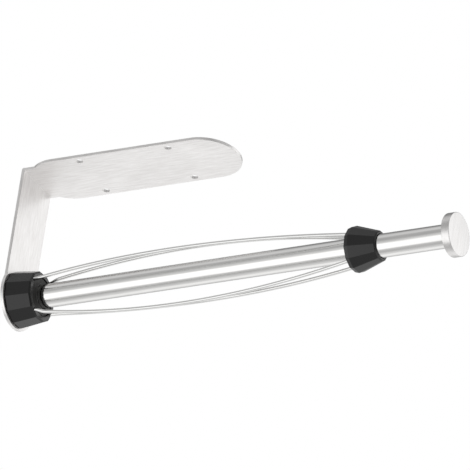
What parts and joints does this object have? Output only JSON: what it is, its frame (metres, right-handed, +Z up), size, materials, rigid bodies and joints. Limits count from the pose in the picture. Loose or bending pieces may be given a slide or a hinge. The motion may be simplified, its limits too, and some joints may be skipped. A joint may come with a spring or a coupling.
{
  "type": "paper towel holder",
  "caption": "Under-cabinet paper towel holder: bent steel bracket, tube with end knob, and a turning cage of bowed spring wires between faceted hubs that grips the roll's core.",
  "frame": {"origin": "centre of the four screw holes, on the plate's top face", "axes": "+X along the tube towards the knob, +Y across the plate, +Z up into the surface it is screwed to"},
  "size_m": [0.3536, 0.055, 0.1239],
  "materials": {
    "brushed_sheet": "brushed along the plate and along the arm",
    "bright_tube": "fine satin, close to polished",
    "brushed_knob": "brushed face, bright rim",
    "bright_wire": "bright drawn wire",
    "spring_steel": "blued spring steel",
    "turned_steel": "turned",
    "screw_steel": "bright zinc",
    "black_hub": "satin moulded plastic",
    "dark_acetal": "moulded acetal",
    "white_nylon": "natural nylon"
  },
  "bodies": {
    "holder": {"mounting_bracket": "brushed_sheet", "support_tube": "bright_tube", "end_knob": "brushed_knob", "rear_tube_plug": "turned_steel", "front_tube_plug": "turned_steel", "knob_stud": "turned_steel", "fixing_screw": "screw_steel", "lock_washer": "screw_steel", "retaining_ring": "spring_steel", "thrust_washer": "white_nylon"},
    "cage": {"rear_hub": "black_hub", "rear_hub_cap": "black_hub", "rear_bush": "dark_acetal", "wave_washer": "spring_steel", "spring_wire_1": "bright_wire", "spring_wire_2": "bright_wire", "spring_wire_3": "bright_wire", "spring_wire_4": "bright_wire"},
    "nose": {"front_hub": "black_hub", "front_wire_holder": "dark_acetal", "front_bush": "dark_acetal"}
  },
  "joints": [
    {"name": "cage_spin", "type": "hinge", "parent": "holder", "child": "cage", "pos_m": [0, 0, -0.0964], "axis": [1, 0, 0], "continuous": true},
    {"name": "front_hub_slide", "type": "slide", "parent": "cage", "child": "nose", "axis": [1, 0, 0], "range_m": [0, 0.0016], "stiffness_N_per_m": 5000, "deforming": ["spring_wire_1", "spring_wire_2", "spring_wire_3", "spring_wire_4"]}
  ]
}
